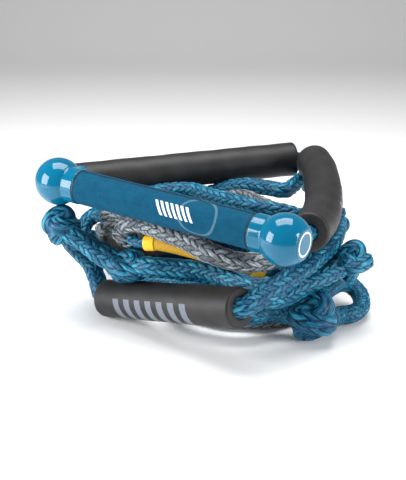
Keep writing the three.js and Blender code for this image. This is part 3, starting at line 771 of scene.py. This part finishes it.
def gloss_material(name, dark, light, roughness):
    """Moulded gloss: two close tones in a soft cloud, faint handling marks in the roughness."""
    made, tree, shader = material(name, Specular_IOR_Level=0.35, Coat_Weight=0.15, Coat_Roughness=0.05)
    where = node(tree, "ShaderNodeTexCoord").outputs["Object"]
    cloud = node(tree, "ShaderNodeTexNoise", {"Vector": where, "Scale": 45.0, "Detail": 3.0}).outputs["Fac"]
    fine = node(tree, "ShaderNodeTexNoise", {"Vector": where, "Scale": 300.0, "Detail": 4.0}).outputs["Fac"]
    tree.links.new(ramp(tree, cloud, [(0.3, dark), (0.7, light)]), shader.inputs["Base Color"])
    rough = node(tree, "ShaderNodeMapRange", {0: fine, 3: roughness * 0.8, 4: roughness * 1.3}).outputs[0]
    tree.links.new(rough, shader.inputs["Roughness"])
    bump = node(tree, "ShaderNodeBump", {"Height": fine, "Distance": 0.00004, "Strength": 0.3})
    tree.links.new(bump.outputs[0], shader.inputs["Normal"])
    return made, tree, shader


band_finish = gloss_material("yellow_band", (0.8, 0.44, 0.008), (0.9, 0.53, 0.012), 0.28)[0]
weave_finish = sleeve_material()
cover("yellow_sleeve", 37.8, 118.2, 5.9, 5.0, weave_finish, ("sleeve",), 0.12)
cover("yellow_band_left", 28.5, 37.5, 6.4, 5.0, band_finish, ("sleeve_band_left",))
cover("yellow_band_right", 118.5, 127.5, 6.4, 5.0, band_finish, ("sleeve_band_right",))
print("sleeve and bands made")

# %% [markdown]
# ## The bar
# The bar is an aluminium tube in thin foam and a napped cover, and each end is closed by a
# moulded cap: a collar, a crease and a ball. They are turned shapes, so each is one outline
# spun about the bar's axis.

# %% Turned pieces
def turned(name, outline, material, slot, stands_for, around=128, swell=None, marks=None):
    """Outline (distance along the bar, radius) spun about the bar. swell(x, angle) adds to the
    radius where a piece isn't quite round."""
    x, r = np.asarray(outline, float).T
    angle = np.linspace(0, 2 * math.pi, around + 1)
    radius = r[:, None] + (swell(x[:, None], angle[None, :-1]) if swell else 0)
    ring = np.cos(angle[:-1])[None], np.sin(angle[:-1])[None]
    local = np.stack(np.broadcast_arrays(x[:, None], radius * ring[0], radius * ring[1]), -1)
    uv = np.stack(np.broadcast_arrays(x[:, None] * MM, angle[None] * r.max() * MM), -1)
    return skin(name, on_bar(local) * MM, material, "handle_and_line", uv, marks, False, stands_for)


# %% Caps
BALL_R, COLLAR_R, COLLAR_REACH, NECK, MOUTH_R = 19.7, 14.5, 24.2, 1.2, 12.0
MOUTH_X = math.sqrt(BALL_R**2 - MOUTH_R**2)
CAP_BLUES = (0.0, 0.115, 0.215), (0.0, 0.13, 0.24)
cap_finish = gloss_material("gloss_blue", *CAP_BLUES, 0.08)[0]


def cap_outline():
    """Right-hand cap from the bar outwards: the collar's rounded end, a straight run, a hollow
    that is a quarter sine, then the ball as far as the mouth that the plug fills."""
    q = np.linspace(0, math.pi / 2, 7)
    collar = np.stack([-COLLAR_REACH + 0.5 - 0.5 * np.cos(q), COLLAR_R - 0.5 + 0.5 * np.sin(q)], -1)
    neck_r = COLLAR_R + NECK
    neck_x = -math.sqrt(BALL_R**2 - neck_r**2)
    t = np.linspace(0, 1, 12)
    hollow = np.stack([neck_x - 2 * NECK * (1 - t), COLLAR_R + NECK * t**2.2], -1)
    run = np.stack([np.linspace(-COLLAR_REACH + 0.7, neck_x - 2 * NECK - 0.3, 10), np.full(10, COLLAR_R)], -1)
    arc = np.linspace(math.atan2(neck_r, neck_x), math.atan2(MOUTH_R + 0.4, MOUTH_X - 0.3), 60)[1:]
    ball = BALL_R * np.stack([np.cos(arc), np.sin(arc)], -1)
    mouth = [[MOUTH_X - 0.3, MOUTH_R], [MOUTH_X - 1, 1]]
    return np.vstack([[[-COLLAR_REACH, 11.2]], collar, run, hollow, ball, mouth])


def plug_outline():
    """The plug: a rounded edge that is a quarter circle, then the flat face in to its middle."""
    q = np.linspace(0, math.pi / 2, 7)
    edge = np.stack([MOUTH_X - 0.35 + 0.75 * np.sin(q), MOUTH_R - 0.8 + 0.75 * np.cos(q)], -1)
    face = np.linspace(MOUTH_R - 1, 0.2, 44)
    return np.vstack([[[MOUTH_X - 0.8, 1], [MOUTH_X - 0.8, MOUTH_R - 0.05]], edge,
                      np.stack([np.full(44, MOUTH_X + 0.4), face], -1)])


RING_R, RING_HALF_WIDTH = 8.7, 0.6


def plug_material():
    """The cap's own gloss with one plain white ring printed on the flat face."""
    made, tree, shader = gloss_material("plug_gloss", *CAP_BLUES, 0.08)
    colour = shader.inputs["Base Color"].links[0].from_socket
    ring = node(tree, "ShaderNodeAttribute", attribute_name="ring").outputs["Fac"]
    tree.links.new(mixed(tree, ring, colour, (0.85, 0.87, 0.88)), shader.inputs["Base Color"])
    return made


plug_finish = plug_material()
for side, sign in (("left", -1), ("right", 1)):
    for kind, outline, finish in (("cap", cap_outline(), cap_finish), ("plug", plug_outline(), plug_finish)):
        outline = (outline + [BALL_SPAN / 2, 0])[::sign] * [sign, 1]
        on_face = np.abs(outline[:, 0]) > BALL_SPAN / 2 + MOUTH_X
        printed = on_face & (np.abs(outline[:, 1] - RING_R) < RING_HALF_WIDTH)
        marks = {"ring": np.repeat(printed[:, None] * 1.0, 128, 1)} if kind == "plug" else None
        stands_for = (f"end_cap_{side}",) if kind == "cap" else (f"cap_plug_{side}",)
        turned(f"ball_{kind}_{side}", outline, finish, kind, stands_for, marks=marks)
print("caps turned")

# %% [markdown]
# ## The cover
# The grip is napped like suede: short fibres that scatter the light, so it is matt. It is
# wrapped round the bar and meets in one seam along the top, at the back. Its print is left
# plain: a ring and a few slanted bars.

# %% Grip finish
def faint_ring(tree):
    """Mask of one plain ring on the front of the grip: 1 where the distance from its middle,
    measured over the surface, is between 15 and 17 mm."""
    place = node(tree, "ShaderNodeUVMap", uv_map="surface").outputs[0]
    middle = node(tree, "ShaderNodeCombineXYZ", {0: 0.038, 1: 0.038, 2: 0.0}).outputs[0]
    away = node(tree, "ShaderNodeVectorMath", {0: place, 1: middle}, operation="DISTANCE").outputs["Value"]
    return sums(tree, "COMPARE", away, 0.016, limit=0.001)


def grip_material():
    """Suede blue with a speckle, a darker nap in patches, and plain pale marks."""
    made, tree, shader = material("napped_blue", Roughness=0.9, Specular_IOR_Level=0.15)
    where = node(tree, "ShaderNodeTexCoord").outputs["Object"]
    speck = node(tree, "ShaderNodeTexNoise", {"Vector": where, "Scale": 1500.0, "Detail": 3.0}).outputs["Fac"]
    nap = node(tree, "ShaderNodeTexNoise", {"Vector": where, "Scale": 160.0, "Detail": 5.0}).outputs["Fac"]
    colour = ramp(tree, nap, [(0.3, (0.0003, 0.047, 0.098)), (0.7, (0.0006, 0.066, 0.13))])
    specks = ramp(tree, speck, [(0.5, (0, 0, 0)), (0.75, (0.6, 0.6, 0.6))])
    colour = mixed(tree, specks, colour, (0.01, 0.115, 0.19))
    bars = slanted_bars(-0.0233, 0.0046, 0.0024, 7, 0.66, 0.033, 0.044)(tree)
    colour = mixed(tree, sums(tree, "MULTIPLY", faint_ring(tree), 0.4), colour, (0.16, 0.27, 0.33))
    colour = mixed(tree, bars, colour, (0.8, 0.84, 0.86))
    seam = node(tree, "ShaderNodeAttribute", attribute_name="seam").outputs["Fac"]
    colour = mixed(tree, seam, colour, (0.012, 0.007, 0.005))
    tree.links.new(colour, shader.inputs["Base Color"])
    both = sums(tree, "ADD", speck, sums(tree, "MULTIPLY", nap, 0.8))
    bump = node(tree, "ShaderNodeBump", {"Height": both, "Distance": 0.00025, "Strength": 0.7})
    tree.links.new(bump.outputs[0], shader.inputs["Normal"])
    return made


# %% Grip
GRIP_R, GRIP_HALF = 14.0, 80.65
SEAM_AT = math.radians(92)
grip_x = np.concatenate([[-GRIP_HALF], np.linspace(-GRIP_HALF + 0.3, GRIP_HALF - 0.3, 240), [GRIP_HALF]])
grip_r = np.full(grip_x.size, GRIP_R)
grip_r[[0, -1]] = GRIP_R - 0.4


def grip_swell(x, angle):
    """A shallow groove at the seam with a low lip each side, and the slight waviness of hide."""
    off = (angle - SEAM_AT + math.pi) % (2 * math.pi) - math.pi
    groove = -0.5 * np.exp(-((off / 0.035) ** 2)) + 0.12 * np.exp(-(((np.abs(off) - 0.09) / 0.05) ** 2))
    return groove - 0.12 + 0.06 * np.sin(x / 7 + 3 * angle) * np.sin(x / 17 - 2 * angle)


off = (np.linspace(0, 2 * math.pi, 161)[:-1] - SEAM_AT + math.pi) % (2 * math.pi) - math.pi
marks = {"seam": np.exp(-((off / 0.06) ** 4))[None] * np.ones((grip_x.size, 1))}
grip = turned("napped_grip", np.stack([grip_x, grip_r], -1), grip_material(), "grip", ("grip_cover",),
              around=160, swell=grip_swell, marks=marks)
print("grip made:", len(grip.data.polygons), "faces")

# %% [markdown]
# ## Pieces that stay as packed
# The tube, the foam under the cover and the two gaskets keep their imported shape. They are
# nearly hidden, so a plain satin metal and two rubbers are enough, each with a fine grain.

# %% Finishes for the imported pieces
def plain_material(name, dark, light, metallic, low, high, scale):
    """Two tones and two roughness values mixed by one noise."""
    made, tree, shader = material(name, Metallic=metallic)
    where = node(tree, "ShaderNodeTexCoord").outputs["Object"]
    grain = node(tree, "ShaderNodeTexNoise", {"Vector": where, "Scale": scale, "Detail": 4.0}).outputs["Fac"]
    tree.links.new(ramp(tree, grain, [(0.3, dark), (0.7, light)]), shader.inputs["Base Color"])
    rough = node(tree, "ShaderNodeMapRange", {0: grain, 3: low, 4: high}).outputs[0]
    tree.links.new(rough, shader.inputs["Roughness"])
    return made


metal = plain_material("satin_tube", (0.6, 0.61, 0.62), (0.75, 0.76, 0.77), 1.0, 0.25, 0.4, 400.0)
gasket = plain_material("black_gasket", (0.008, 0.008, 0.009), (0.016, 0.016, 0.018), 0.0, 0.4, 0.6, 900.0)
liner = plain_material("grey_liner", (0.025, 0.027, 0.03), (0.04, 0.042, 0.046), 0.0, 0.8, 0.95, 1200.0)
kept = {"core_tube": metal, "foam_liner": liner, "grip_washer_left": gasket, "grip_washer_right": gasket}
for name, finish in kept.items():
    piece = bpy.data.objects[name]
    for place in piece.material_slots:
        place.material = finish
print("packed pieces finished:", ", ".join(kept))

# %% [markdown]
# ## Studio
# A white sheet under and behind the object, a large soft light on each side and a bright sky
# give the flat white of a shop picture, with the lamps reflected in the two glossy balls.

# %% Floor
def sheet_of_paper():
    """Flat sheet that curves up at the back: height = rise * (distance past the fold) squared."""
    x = np.linspace(-3, 3, 5)
    y = np.linspace(-2.5, 3.0, 60)
    z = np.where(y > 1.2, 0.9 * (y - 1.2) ** 2, 0) - 0.0002
    points = np.stack(np.broadcast_arrays(x[None, :], y[:, None], z[:, None]), -1)
    n, m = len(y), len(x)
    i, j = np.arange(n - 1)[:, None] * m, np.arange(m - 1)[None, :]
    faces = np.stack([i + j, i + j + 1, i + m + j + 1, i + m + j], -1).reshape(-1, 4)
    mesh = bpy.data.meshes.new("studio_sheet")
    mesh.from_pydata(points.reshape(-1, 3).tolist(), [], faces.tolist())
    mesh.shade_smooth()
    return mesh


paper, tree, shader = material("white_paper", Roughness=0.9, Specular_IOR_Level=0.1)
shader.inputs["Base Color"].default_value = (0.93, 0.93, 0.93, 1)
floor = bpy.data.objects.new("studio_sheet", sheet_of_paper())
floor.data.materials.append(paper)
bpy.context.scene.collection.objects.link(floor)
print("floor laid")

# %% Lights
sky = bpy.data.worlds.new("studio_sky")
sky.use_nodes = True
sky.node_tree.nodes["Background"].inputs["Color"].default_value = (1, 1, 1, 1)
sky.node_tree.nodes["Background"].inputs["Strength"].default_value = 0.2
bpy.context.scene.world = sky


def softbox(name, at, aim, size, watts):
    """Area lamp at one point, turned to face another."""
    lamp = bpy.data.lights.new(name, "AREA")
    lamp.shape = "RECTANGLE"
    lamp.size, lamp.size_y = size
    lamp.energy = watts
    holder = bpy.data.objects.new(name, lamp)
    holder.location = at
    back = unit(np.array(at, float) - np.array(aim, float))
    side = unit(np.cross([0, 0, 1], back))
    up = np.cross(back, side)
    turn = np.stack([side, up, back], -1)
    holder.rotation_euler = Matrix(turn.tolist()).to_euler()
    bpy.context.scene.collection.objects.link(holder)
    return holder


softbox("left_softbox", (-0.75, -0.3, 0.3), (0, 0, 0.06), (0.45, 0.5), 9)
softbox("right_softbox", (0.7, -0.5, 0.3), (0, 0, 0.06), (0.2, 0.5), 5)
softbox("top_softbox", (0.0, 0.1, 1.0), (0, 0, 0.06), (0.9, 0.6), 14)
bpy.context.scene.view_settings.view_transform = "Standard"
bpy.context.scene.view_settings.exposure = 0.0
print("lights set")
